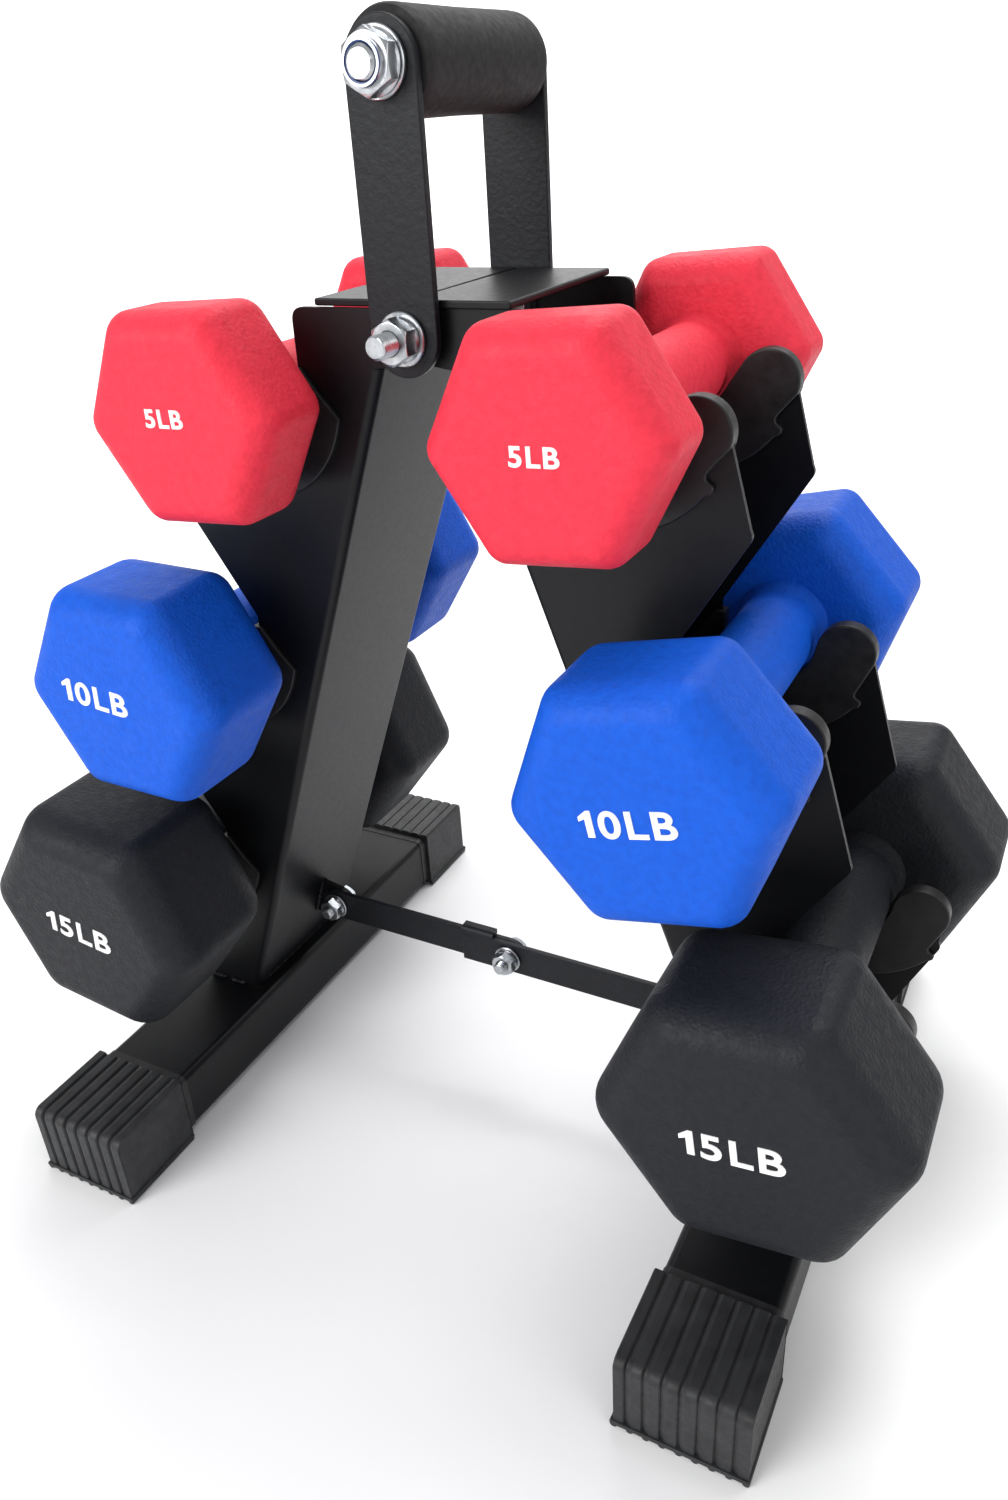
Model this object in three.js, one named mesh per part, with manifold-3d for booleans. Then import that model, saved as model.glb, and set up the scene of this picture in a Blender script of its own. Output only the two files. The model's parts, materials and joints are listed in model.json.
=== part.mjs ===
// A folding A-frame dumbbell rack: two hinged sheet-steel legs on base tubes, a carry handle,
// a folding brace, and three pairs of hexagonal dumbbells lying in lined saddles.
// Millimetres, +X to the right, +Y to the rear, +Z up; the origin is on the floor under the hinge.
import * as THREE from "three";
import { mergeVertices } from "three/addons/utils/BufferGeometryUtils.js";
import Module from "manifold-3d";

const wasm = await Module();
wasm.setup();

// ---- Driving dimensions ----
const GAP = 0.3; // between pieces that touch
const SHEET = 2; // leg sheet thickness
const LEAN = THREE.MathUtils.degToRad(20); // lean of each leg's web from upright
const PIVOT_Z = 348; // hinge axis above the floor
const WEB_AT_PIVOT = 8.7; // web's inboard face from the middle, at hinge height
const OUTER_FLANGE = 40; // outer face of the flange that lies outside at the hinge
const INNER_FLANGE = OUTER_FLANGE - SHEET - 0.4; // outer face of the flange that lies inside
const EAR_RADIUS = 8.5;
const WEB_TOP = 337;
const FLANGE_TOP = PIVOT_Z + EAR_RADIUS;
const FLANGE_TOP_END = 46.6; // outboard end of the flange's top edge

const TUBE = { x: 138, width: 45, height: 30, wall: 1.8, length: 295 };
const CAP = { wall: 3, length: 41.5, ribs: 8, groove: 1.3, depth: 1.1, bevel: 6 };
const TUBE_TOP = CAP.wall + TUBE.height;

// Dumbbells from the top pair down: axis, size across the flats, head length, grip radius,
// half the grip's length, and the middle of the saddle arm's round tip.
const DUMBBELLS = [
  { pounds: 5, x: 66.8, z: 326, flats: 70.6, head: 37.6, grip: 15, reach: 49.5, tip: [97.8, 322.7] },
  { pounds: 10, x: 103.6, z: 225, flats: 82.4, head: 52.5, grip: 16, reach: 53.5, tip: [133.1, 224.2] },
  { pounds: 15, x: 143.5, z: 115.5, flats: 97.8, head: 60.5, grip: 17, reach: 55.5, tip: [172.9, 113.7] },
];
// How far each hexagon has rolled outboard in its saddle, in degrees.
const ROLLS = { right: [4, 12, 7], left: [-3, 1, 7] };
const LINER_RADIUS = 18; // seat in the saddle liner
const LINER_WALL = 2;
const NOTCH_RADIUS = LINER_RADIUS + LINER_WALL;
const ARM_RADIUS = 9.3;
const ARM_CORNERS = [
  { x: 116.5, z: 291.5 },
  { x: 156.5, z: 178.5 },
  { x: 182.5, z: 98.5 },
];
const FOOT_END = 152; // outboard end of the flange on the base tube
const SKIRT = { dx: 3, radius: 40, from: -34, to: -167.5 }; // lower edge of a liner's skirt

const STRAP = { width: 25, thick: 3, inner: OUTER_FLANGE + 0.8, rise: 77 };
const GRIP = { radius: 15.3, tube: 7.7 };
const BRACE = { x: 99, z: 64, half: 8, thick: 2.4, overhang: 24.5 };

// Threaded hardware: shank radius, nut across flats, nut height, washer radius and thickness.
const M6 = { shank: 3, flats: 10, nut: 5, head: 4, washer: 6.5, washerThick: 1.2, hole: 3.3 };
const M8 = { shank: 4, flats: 13, nut: 7, head: 5.3, washer: 8.6, washerThick: 1.6, hole: 4.3 };
const M10 = { shank: 5, flats: 16, nut: 7.6, head: 6.4, washer: 9.8, washerThick: 1.6, hole: 5.3 };
const ROUND = 16; // segments round a bolt or a hole

const COLOUR = { red: 0xd8283a, blue: 0x1546b8, black: 0x26282b };
const material = (color, roughness = 0.6, metalness = 0) =>
  new THREE.MeshStandardMaterial({ color, roughness, metalness });
const STEEL = material(0x17181a, 0.5, 0.3);
const ZINC = material(0xc3c7cb, 0.25, 1);
const RUBBER = material(0x202123, 0.7);
const FOAM = material(0x151515, 0.85);
const NEOPRENE = [
  material(COLOUR.red, 0.65),
  material(COLOUR.blue, 0.65),
  material(COLOUR.black, 0.65),
];

// ---- Solids ----
function solid(geometry) {
  const bare = geometry.index ? geometry.toNonIndexed() : geometry.clone();
  const positions = new THREE.BufferGeometry();
  positions.setAttribute("position", bare.getAttribute("position"));
  const merged = mergeVertices(positions, 1e-3);
  return new wasm.Manifold(
    new wasm.Mesh({
      numProp: 3,
      vertProperties: merged.attributes.position.array,
      triVerts: new Uint32Array(merged.index.array),
    }),
  );
}

function geometryOf(made) {
  const mesh = made.getMesh();
  const geometry = new THREE.BufferGeometry();
  const positions = new Float32Array(mesh.vertProperties);
  geometry.setAttribute("position", new THREE.BufferAttribute(positions, 3));
  geometry.setIndex(new THREE.BufferAttribute(new Uint32Array(mesh.triVerts), 1));
  return geometry;
}

const join = (first, ...others) =>
  geometryOf(others.reduce((sum, g) => sum.add(solid(g)), solid(first)));
const cut = (first, ...others) =>
  geometryOf(others.reduce((rest, g) => rest.subtract(solid(g)), solid(first)));

// A flat shape drawn in X and Z, given thickness from Y = low to Y = high.
function plate(shape, low, high, segments = 8) {
  const settings = { depth: high - low, bevelEnabled: false, curveSegments: segments };
  const geometry = new THREE.ExtrudeGeometry(shape, settings);
  geometry.rotateX(Math.PI / 2);
  return geometry.translate(0, high, 0);
}

function box(x0, x1, y0, y1, z0, z1) {
  const geometry = new THREE.BoxGeometry(x1 - x0, y1 - y0, z1 - z0);
  return geometry.translate((x0 + x1) / 2, (y0 + y1) / 2, (z0 + z1) / 2);
}

// A cylinder along Y.
function rod(radius, x, z, low, high, segments = ROUND) {
  const geometry = new THREE.CylinderGeometry(radius, radius, high - low, segments);
  return geometry.translate(x, (low + high) / 2, z);
}

const hexPrism = (flats, x, z, low, high) =>
  rod(flats / 2 / Math.cos(Math.PI / 6), x, z, low, high, 6);

const degrees = (v) => v.map((d) => THREE.MathUtils.degToRad(d));
const point = (x, z) => new THREE.Vector2(x, z);

function piece(group, name, geometry, look) {
  const mesh = new THREE.Mesh(geometry, look);
  mesh.name = name;
  group.add(mesh);
  return mesh;
}

// ---- Leg: one bent sheet with two sawtooth flanges, drawn with outboard towards +X ----
const webX = (z) => WEB_AT_PIVOT + (PIVOT_Z - z) * Math.tan(LEAN);

// Notch centre: the grip rests on the liner, a gap above it.
function notchOf(bell) {
  return point(bell.x, bell.z + LINER_RADIUS - bell.grip - GAP);
}

const armOf = (bell) => point(...bell.tip);

// Angle at the notch centre where the crossing tangent of notch and arm tip leaves the notch.
function crossing(bell, notchRadius, armRadius) {
  const across = armOf(bell).sub(notchOf(bell));
  return Math.atan2(across.y, across.x) - Math.acos((notchRadius + armRadius) / across.length());
}

// Point of tangency on a circle for the line to an outside point, on its clockwise side.
function tangentAngle(centre, radius, outside) {
  const to = outside.clone().sub(centre);
  return Math.atan2(to.y, to.x) + Math.acos(radius / to.length());
}

// Rounds the corner at the middle one of three points.
function corner(shape, before, at, after, radius) {
  const inward = before.clone().sub(at).normalize();
  const outward = after.clone().sub(at).normalize();
  const half = Math.acos(inward.dot(outward)) / 2;
  const run = radius / Math.tan(half);
  const start = at.clone().addScaledVector(inward, run);
  const end = at.clone().addScaledVector(outward, run);
  shape.lineTo(start.x, start.y);
  shape.quadraticCurveTo(at.x, at.y, end.x, end.y);
}

function flangeShape() {
  const shape = new THREE.Shape();
  shape.moveTo(webX(TUBE_TOP + GAP), TUBE_TOP + GAP);
  shape.lineTo(webX(WEB_TOP), WEB_TOP);
  shape.absarc(0, PIVOT_Z, EAR_RADIUS, -Math.PI * 0.55, -Math.PI * 1.5, true);
  const topEnd = point(FLANGE_TOP_END, FLANGE_TOP);
  corner(shape, point(0, FLANGE_TOP), topEnd, point(FLANGE_TOP_END, PIVOT_Z), 5);
  DUMBBELLS.forEach((bell, tier) => {
    const notch = notchOf(bell);
    const arm = armOf(bell);
    const tip = point(ARM_CORNERS[tier].x, ARM_CORNERS[tier].z);
    const leave = crossing(bell, NOTCH_RADIUS, ARM_RADIUS);
    shape.lineTo(notch.x - NOTCH_RADIUS, notch.y + (tier === 0 ? 6 : 12));
    shape.absarc(notch.x, notch.y, NOTCH_RADIUS, -Math.PI, leave, false);
    const edge = tangentAngle(arm, ARM_RADIUS, tip);
    shape.absarc(arm.x, arm.y, ARM_RADIUS, leave + Math.PI, edge, true);
    const next = DUMBBELLS[tier + 1];
    const after = next
      ? notchOf(next).add(point(-NOTCH_RADIUS, 12))
      : point(FOOT_END, TUBE_TOP + GAP);
    corner(shape, arm, tip, after, 4);
  });
  shape.lineTo(FOOT_END, TUBE_TOP + GAP);
  shape.holes.push(new THREE.Path().absarc(0, PIVOT_Z, M8.hole, 0, Math.PI * 2));
  return shape;
}

function webShape() {
  const thickness = SHEET / Math.cos(LEAN);
  const bottom = TUBE_TOP + GAP;
  const corners = [
    [webX(bottom), bottom],
    [webX(bottom) + thickness, bottom],
    [webX(WEB_TOP) + thickness, WEB_TOP],
    [webX(WEB_TOP), WEB_TOP],
  ];
  return new THREE.Shape(corners.map(([x, z]) => point(x, z)));
}

// Flange faces in Y: the front one lies inside at the hinge and the rear one outside.
const FRONT = [-INNER_FLANGE, -INNER_FLANGE + SHEET];
const REAR = [OUTER_FLANGE - SHEET, OUTER_FLANGE];

const channel = () =>
  join(
    plate(flangeShape(), ...FRONT, 7),
    plate(flangeShape(), ...REAR, 7),
    plate(webShape(), FRONT[0] + 0.5, REAR[1] - 0.5),
  );

// Saddle liner: a U that clips over the notch, with a round skirt on both faces of the flange.
function linerShape(bell) {
  const notch = notchOf(bell);
  const arm = armOf(bell);
  const radius = ARM_RADIUS + LINER_WALL;
  const leave = crossing(bell, LINER_RADIUS, radius);
  const [from, to] = degrees([SKIRT.from, SKIRT.to]);
  const shape = new THREE.Shape();
  shape.moveTo(notch.x - NOTCH_RADIUS - LINER_WALL, notch.y + 8);
  shape.lineTo(notch.x - LINER_RADIUS, notch.y + 8);
  shape.absarc(notch.x, notch.y, LINER_RADIUS, -Math.PI, leave, false);
  shape.absarc(arm.x, arm.y, radius, leave + Math.PI, -0.35, true);
  shape.lineTo(notch.x + 34, notch.y - 19.5);
  shape.absarc(notch.x + SKIRT.dx, notch.y, SKIRT.radius, from, to, true);
  shape.lineTo(notch.x - 28, notch.y);
  return shape;
}

// The flange that a liner clips over, GAP larger all round.
function linerSlot(bell, [low, high]) {
  const notch = notchOf(bell);
  const arm = armOf(bell);
  const tip = ARM_CORNERS[DUMBBELLS.indexOf(bell)];
  const edge = tangentAngle(arm, ARM_RADIUS, point(tip.x, tip.z));
  const shape = new THREE.Shape();
  const radius = ARM_RADIUS + GAP;
  const leave = crossing(bell, NOTCH_RADIUS - GAP, radius);
  shape.moveTo(notch.x - 60, notch.y + 20);
  shape.lineTo(notch.x - NOTCH_RADIUS + GAP, notch.y + 20);
  shape.absarc(notch.x, notch.y, NOTCH_RADIUS - GAP, -Math.PI, leave, false);
  shape.absarc(arm.x, arm.y, radius, leave + Math.PI, edge, true);
  const { x, y } = shape.currentPoint;
  shape.lineTo(x + 70 * Math.sin(edge), y - 70 * Math.cos(edge));
  shape.lineTo(notch.x - 60, notch.y - 60);
  return plate(shape, low - GAP, high + GAP, 5);
}

function liner(bell, [low, high]) {
  const body = plate(linerShape(bell), low - LINER_WALL, high + LINER_WALL, 5);
  return cut(body, linerSlot(bell, [low, high]));
}

const topPlate = () => box(GAP, 37, -39.3, 39.3, FLANGE_TOP + GAP, FLANGE_TOP + GAP + 2.5);

function baseTube() {
  const { x, width, height, wall, length } = TUBE;
  const outline = (inset) => {
    const [w, h] = [width / 2 - inset, height / 2 - inset];
    const z = CAP.wall + height / 2;
    return [point(x - w, z - h), point(x + w, z - h), point(x + w, z + h), point(x - w, z + h)];
  };
  const shape = new THREE.Shape(outline(0));
  shape.holes.push(new THREE.Path(outline(wall)));
  return plate(shape, -length / 2, length / 2);
}

// End cap over the tube's front end: ribs run over the top, down the end and underneath.
function endCap() {
  const { wall, length, ribs, groove, depth, bevel } = CAP;
  const height = TUBE.height + 2 * wall;
  const width = TUBE.width + 2 * wall;
  const end = -TUBE.length / 2 - wall;
  const profile = (inset) => {
    const shape = new THREE.Shape();
    shape.moveTo(end + length, inset);
    shape.lineTo(end + inset, inset);
    shape.lineTo(end + inset, height - bevel);
    shape.quadraticCurveTo(end + inset, height - inset, end + bevel, height - inset);
    shape.lineTo(end + length, height - inset);
    return shape;
  };
  const slice = (x0, x1, inset) => {
    const settings = { depth: x1 - x0, bevelEnabled: false, curveSegments: 4 };
    const geometry = new THREE.ExtrudeGeometry(profile(inset), settings);
    geometry.rotateX(Math.PI / 2).rotateZ(Math.PI / 2);
    return geometry.translate(x0, 0, 0);
  };
  const left = TUBE.x - width / 2;
  const pitch = (width + groove) / ribs;
  const slices = [slice(left + 1, left + width - 1, depth)];
  for (let i = 0; i < ribs; i++) {
    slices.push(slice(left + i * pitch, left + (i + 1) * pitch - groove, 0));
  }
  const pocket = box(
    TUBE.x - TUBE.width / 2 - GAP,
    TUBE.x + TUBE.width / 2 + GAP,
    -TUBE.length / 2 - GAP,
    end + length + 1,
    wall - GAP,
    wall + TUBE.height + GAP,
  );
  return cut(join(...slices), pocket);
}

const LUG = 3; // thickness of the lugs that carry the brace

function braceLug(low) {
  const { x, z, half } = BRACE;
  const top = z + half + 2;
  const bottom = z - half - 2;
  const shape = new THREE.Shape();
  shape.moveTo(webX(bottom) - GAP, bottom);
  shape.lineTo(webX(top) - GAP, top);
  shape.absarc(x, z, half, Math.PI * 0.5, Math.PI * 1.5, false);
  shape.holes.push(new THREE.Path().absarc(x, z, M6.hole, 0, Math.PI * 2));
  return plate(shape, low, low + LUG);
}

// ---- Hardware: every bolt lies along Y, with its head towards the rear ----
function bolt(size, x, z, headLow, headHigh, end) {
  const shaft = rod(size.shank, x, z, end, headLow + 0.5);
  return join(shaft, hexPrism(size.flats, x, z, headLow, headHigh));
}

function nut(size, x, z, low) {
  const body = hexPrism(size.flats, x, z, low, low + size.nut);
  return cut(body, rod(size.shank + GAP, x, z, low - 1, low + size.nut + 1));
}

function washer(size, x, z, low) {
  const body = rod(size.washer, x, z, low, low + size.washerThick, 24);
  return cut(body, rod(size.shank + GAP, x, z, low - 1, low + size.washerThick + 1));
}

// ---- Dumbbell along Y: a hexagonal, round-cornered head at each end of a flared grip ----
const HEAD_CORNER = 0.1; // corner radius over the size across flats
const CORNER_STEPS = 3;

function hexRing(bell, roll, y, shrink) {
  const flats = bell.flats - 2 * shrink;
  const rounding = flats * HEAD_CORNER;
  const reach = (flats / 2 - rounding) / Math.cos(Math.PI / 6);
  const ring = [];
  for (let k = 0; k < 6; k++) {
    const middle = (k * Math.PI) / 3 + roll;
    for (let j = 0; j < CORNER_STEPS; j++) {
      const angle = middle + (j / (CORNER_STEPS - 1) - 0.5) * (Math.PI / 3);
      const x = bell.x + reach * Math.cos(middle) + rounding * Math.cos(angle);
      const z = bell.z + reach * Math.sin(middle) + rounding * Math.sin(angle);
      ring.push([x, y, z]);
    }
  }
  return ring;
}

function gripRing(bell, roll, y, radius) {
  const count = 6 * CORNER_STEPS;
  return Array.from({ length: count }, (_, i) => {
    const k = Math.floor(i / CORNER_STEPS);
    const j = i % CORNER_STEPS;
    const turn = k * (Math.PI / 3) + (j / (CORNER_STEPS - 1) - 0.5) * (Math.PI / 3) * 0.67;
    const [across, up] = [Math.cos(turn + roll), Math.sin(turn + roll)];
    return [bell.x + radius * across, y, bell.z + radius * up];
  });
}

// Joins rings of equal count into one closed skin.
function loft(rings) {
  const count = rings[0].length;
  const positions = rings.flat(2);
  const last = (rings.length - 1) * count;
  const faces = [];
  for (let r = 0; r + 1 < rings.length; r++) {
    for (let i = 0; i < count; i++) {
      const a = r * count + i;
      const b = r * count + ((i + 1) % count);
      faces.push(a, b, a + count, b, b + count, a + count);
    }
  }
  for (let i = 1; i + 1 < count; i++) {
    faces.push(0, i + 1, i, last, last + i, last + i + 1);
  }
  const geometry = new THREE.BufferGeometry();
  geometry.setAttribute("position", new THREE.Float32BufferAttribute(positions, 3));
  return geometry.setIndex(faces);
}

function dumbbell(bell, roll) {
  const { flats, head, grip, reach } = bell;
  const end = reach + head;
  const round = flats * 0.16;
  const half = [
    [end, round * 0.8, true],
    [end - round * 0.4, round * 0.25, true],
    [end - round, 0, true],
    [reach + round, 0, true],
    [reach + round * 0.4, round * 0.25, true],
    [reach, round * 0.8, true],
    [reach - 3.5, grip + 1.2, false],
    [reach - 6.5, grip, false],
  ];
  const ringAt = (side) => ([y, size, hex]) =>
    hex ? hexRing(bell, roll, side * y, size) : gripRing(bell, roll, side * y, size);
  const rear = half.map(ringAt(1));
  const front = half.map(ringAt(-1)).reverse();
  return loft([...rear, ...front]);
}

// ---- Assembly ----
const rack = new THREE.Group();

function addLeg(side, turn) {
  const leg = new THREE.Group();
  leg.rotation.z = turn; // the two legs are one part, used twice
  const [towardsFront, towardsRear] = turn ? ["rear", "front"] : ["front", "rear"];
  piece(leg, `${side}_leg_channel`, channel(), STEEL);
  piece(leg, `${side}_top_plate`, topPlate(), STEEL);
  piece(leg, `${side}_base_tube`, baseTube(), STEEL);
  piece(leg, `${side}_end_cap_${towardsFront}`, endCap(), RUBBER);
  const mirrored = endCap().rotateZ(Math.PI).translate(2 * TUBE.x, 0, 0);
  piece(leg, `${side}_end_cap_${towardsRear}`, mirrored, RUBBER);
  DUMBBELLS.forEach((bell, tier) => {
    piece(leg, `${side}_saddle_liner_${tier + 1}_${towardsFront}`, liner(bell, FRONT), RUBBER);
    piece(leg, `${side}_saddle_liner_${tier + 1}_${towardsRear}`, liner(bell, REAR), RUBBER);
    const roll = THREE.MathUtils.degToRad(ROLLS[side][tier]);
    piece(leg, `${side}_dumbbell_${bell.pounds}lb`, dumbbell(bell, roll), NEOPRENE[tier]);
  });
  rack.add(leg);
}

// A bolt through stacked pieces: head behind, washer and nut in front.
function addFastener(name, size, x, z, rearFace, frontFace, tail) {
  piece(rack, `${name}_bolt`, bolt(size, x, z, rearFace, rearFace + size.head, tail), ZINC);
  const washerLow = frontFace - size.washerThick;
  piece(rack, `${name}_washer`, washer(size, x, z, washerLow), ZINC);
  piece(rack, `${name}_nut`, nut(size, x, z, washerLow - GAP - size.nut), ZINC);
}

// The hinge: a short bolt through both flanges and the strap at each end, nuts outside.
function addHinge() {
  const inside = INNER_FLANGE - SHEET - GAP;
  const outside = STRAP.inner + STRAP.thick + GAP;
  for (const [end, turn] of [["front", 0], ["rear", Math.PI]]) {
    const hinge = new THREE.Group();
    hinge.rotation.z = turn;
    const parts = {
      bolt: bolt(M8, 0, PIVOT_Z, -inside, -inside + M8.head, -outside - 17),
      washer: washer(M8, 0, PIVOT_Z, -outside - M8.washerThick),
      nut: nut(M8, 0, PIVOT_Z, -outside - M8.washerThick - GAP - M8.nut),
    };
    for (const [kind, geometry] of Object.entries(parts)) {
      piece(hinge, `hinge_${kind}_${end}`, geometry, ZINC);
    }
    rack.add(hinge);
  }
}

function strap(low) {
  const top = PIVOT_Z + STRAP.rise;
  const shape = new THREE.Shape();
  shape.absarc(0, PIVOT_Z, STRAP.width / 2, Math.PI, Math.PI * 2, false);
  shape.absarc(0, top, STRAP.width / 2, 0, Math.PI, false);
  shape.holes.push(new THREE.Path().absarc(0, PIVOT_Z, M8.hole, 0, Math.PI * 2));
  shape.holes.push(new THREE.Path().absarc(0, top, M10.hole, 0, Math.PI * 2));
  return plate(shape, low, low + STRAP.thick, 12);
}

function sleeve(outer, inner, half) {
  const top = PIVOT_Z + STRAP.rise;
  return cut(rod(outer, 0, top, -half, half, 24), rod(inner, 0, top, -half - 1, half + 1));
}

function addHandle() {
  piece(rack, "handle_strap_front", strap(-STRAP.inner - STRAP.thick), STEEL);
  piece(rack, "handle_strap_rear", strap(STRAP.inner), STEEL);
  piece(rack, "handle_foam_grip", sleeve(GRIP.radius, GRIP.tube + GAP, STRAP.inner - 0.8), FOAM);
  piece(rack, "handle_grip_tube", sleeve(GRIP.tube, M10.shank + 0.4, STRAP.inner - GAP), ZINC);
  const face = STRAP.inner + STRAP.thick + GAP;
  const top = PIVOT_Z + STRAP.rise;
  piece(rack, "grip_washer_rear", washer(M10, 0, top, face), ZINC);
  addFastener("grip", M10, 0, top, face + M10.washerThick + GAP, -face, -face - 10.4);
}

// The folding brace: two flat bars that cross at the middle; the right one has a stop lip.
const BAR_PLANES = { left: [0.4, 0.4 + BRACE.thick], right: [-BRACE.thick, 0] };

function leftBar() {
  const { x, z, half } = BRACE;
  const shape = new THREE.Shape();
  shape.absarc(-x, z, half, Math.PI * 0.5, Math.PI * 1.5, false);
  shape.absarc(0, z, half, -Math.PI * 0.5, Math.PI * 0.5, false);
  for (const centre of [-x, 0]) {
    shape.holes.push(new THREE.Path().absarc(centre, z, M6.hole, 0, Math.PI * 2));
  }
  return plate(shape, ...BAR_PLANES.left);
}

function rightBar() {
  const { x, z, half, overhang } = BRACE;
  const shape = new THREE.Shape();
  shape.moveTo(-overhang, z + half);
  shape.lineTo(-overhang, z - half);
  shape.absarc(x, z, half, -Math.PI * 0.5, Math.PI * 0.5, false);
  for (const centre of [x, 0]) {
    shape.holes.push(new THREE.Path().absarc(centre, z, M6.hole, 0, Math.PI * 2));
  }
  const [low, high] = [BAR_PLANES.right[0], BAR_PLANES.left[1]];
  const lip = box(-overhang, -8, low, high, z + half + 0.5, z + half + 2.9);
  const rise = box(-overhang, -8, low, BAR_PLANES.right[1], z + half - 1, z + half + 1);
  return join(plate(shape, ...BAR_PLANES.right), lip, rise);
}

function addBrace() {
  const { x, z } = BRACE;
  piece(rack, "brace_bar_left", leftBar(), STEEL);
  piece(rack, "brace_bar_right", rightBar(), STEEL);
  const leftLug = new THREE.Group();
  leftLug.scale.x = -1;
  piece(leftLug, "brace_lug_left", braceLug(BAR_PLANES.left[1] + 0.4), STEEL);
  rack.add(leftLug);
  piece(rack, "brace_lug_right", braceLug(BAR_PLANES.right[0] - 0.4 - LUG), STEEL);
  const [leftFront, leftRear] = [BAR_PLANES.left[0], BAR_PLANES.left[1] + 0.4 + LUG];
  const [rightFront, rightRear] = [BAR_PLANES.right[0] - 0.4 - LUG, BAR_PLANES.right[1]];
  addFastener("brace_left", M6, -x, z, leftRear + GAP, leftFront - GAP, leftFront - 9.5);
  addFastener("brace_right", M6, x, z, rightRear + GAP, rightFront - GAP, rightFront - 9.5);
  // The middle pin is in two halves that meet between the bars, one on each bar.
  const [rearFace, frontFace] = [BAR_PLANES.left[1] + GAP, BAR_PLANES.right[0] - GAP];
  const rearHalf = bolt(M6, 0, z, rearFace, rearFace + M6.head, BAR_PLANES.left[0]);
  piece(rack, "brace_middle_bolt", rearHalf, ZINC);
  piece(rack, "brace_middle_stud", rod(M6.shank, 0, z, frontFace - 9.5, BAR_PLANES.right[1]), ZINC);
  piece(rack, "brace_middle_washer", washer(M6, 0, z, frontFace - M6.washerThick), ZINC);
  const nutLow = frontFace - M6.washerThick - GAP - M6.nut;
  piece(rack, "brace_middle_nut", nut(M6, 0, z, nutLow), ZINC);
}

addLeg("right", 0);
addLeg("left", Math.PI);
addHinge();
addHandle();
addBrace();

export default rack;
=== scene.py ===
"""Looks for the folding A-frame dumbbell rack: bent sheet legs with lined saddles, a carry handle,
a folding brace, rubber end caps and three pairs of coated hexagonal dumbbells."""

import json
import math

import bmesh
import bpy
from mathutils import Matrix, Vector
from mathutils.geometry import tessellate_polygon


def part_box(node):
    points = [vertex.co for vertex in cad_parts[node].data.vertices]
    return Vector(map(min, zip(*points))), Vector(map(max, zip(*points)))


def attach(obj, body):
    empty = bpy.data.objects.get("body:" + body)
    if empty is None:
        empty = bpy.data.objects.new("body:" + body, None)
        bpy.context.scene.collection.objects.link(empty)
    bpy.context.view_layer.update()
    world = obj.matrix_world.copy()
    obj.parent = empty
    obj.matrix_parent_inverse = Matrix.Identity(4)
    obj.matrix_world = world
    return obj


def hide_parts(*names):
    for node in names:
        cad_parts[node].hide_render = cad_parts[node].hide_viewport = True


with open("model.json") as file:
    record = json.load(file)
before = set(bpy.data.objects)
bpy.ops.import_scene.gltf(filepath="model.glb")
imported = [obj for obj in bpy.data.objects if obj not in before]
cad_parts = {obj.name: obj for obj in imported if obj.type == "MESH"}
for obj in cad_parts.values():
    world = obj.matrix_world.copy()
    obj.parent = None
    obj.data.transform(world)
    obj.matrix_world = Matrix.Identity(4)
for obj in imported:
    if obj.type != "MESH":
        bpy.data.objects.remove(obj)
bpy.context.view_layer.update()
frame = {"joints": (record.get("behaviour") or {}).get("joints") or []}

# ---- Driving dimensions, in millimetres like the frame's own part ----
MM = 0.001
GAP = 0.3
SHEET = 2.0
LEAN = math.radians(20)
WEB_AT_PIVOT = 8.7
OUTER_FLANGE = 40.0
INNER_FLANGE = OUTER_FLANGE - SHEET - 0.4
EAR_RADIUS = 8.5
WEB_TOP = 337.0
FLANGE_TOP_END = 46.6
FOOT_END = 152.0
LINER_RADIUS = 18.0
LINER_WALL = 2.0
NOTCH_RADIUS = LINER_RADIUS + LINER_WALL
ARM_RADIUS = 9.3
ARM_CORNERS = [(116.5, 291.5), (156.5, 178.5), (182.5, 98.5)]
BEND_RADIUS = 3.2
BRACE_HALF = 8.0

joints = {j["name"]: [c / MM for c in j["pos_m"]] for j in frame["joints"]}
PIVOT_Z = joints["leg_fold"][2]
BRACE_X, _, BRACE_Z = joints["right_bar_fold"]
FLANGE_TOP = PIVOT_Z + EAR_RADIUS


def box(node):
    """A CAD node's lowest and highest corners in millimetres."""
    low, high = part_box(node)
    return low / MM, high / MM


def middle(node):
    low, high = box(node)
    return (low + high) / 2


GRIP_Z = middle("handle_foam_grip").z
TUBE_TOP = box("right_base_tube")[1].z
TUBE_X = middle("right_base_tube").x

# Each dumbbell from the top pair down: weight, size across the flats, head length, grip radius.
BELLS = [(5, 70.6, 37.6, 15.0), (10, 82.4, 52.5, 16.0), (15, 97.8, 60.5, 17.0)]
ROLLS = {"right": [4, 12, 7], "left": [-3, 1, 7]}
LABEL_ROLLS = {"right": [2, 12.5, 7], "left": [1, -5, -7]}
LABEL_SIZES = [9.0, 14.1, 15.9]
LABEL_SHIFTS = {"right": [(0, -0.3), (-1.5, -1), (-2, 0)], "left": [(-1, 2.4), (-6.5, 3.1), (0, 0.5)]}


# ---- Materials ----
def shader(name, color, roughness, metallic=0.0, **sockets):
    material = bpy.data.materials.new(name)
    material.use_nodes = True
    bsdf = material.node_tree.nodes["Principled BSDF"]
    bsdf.inputs["Base Color"].default_value = (*color, 1)
    bsdf.inputs["Roughness"].default_value = roughness
    bsdf.inputs["Metallic"].default_value = metallic
    for socket, value in sockets.items():
        bsdf.inputs[socket.replace("_", " ")].default_value = value
    return material


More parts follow.
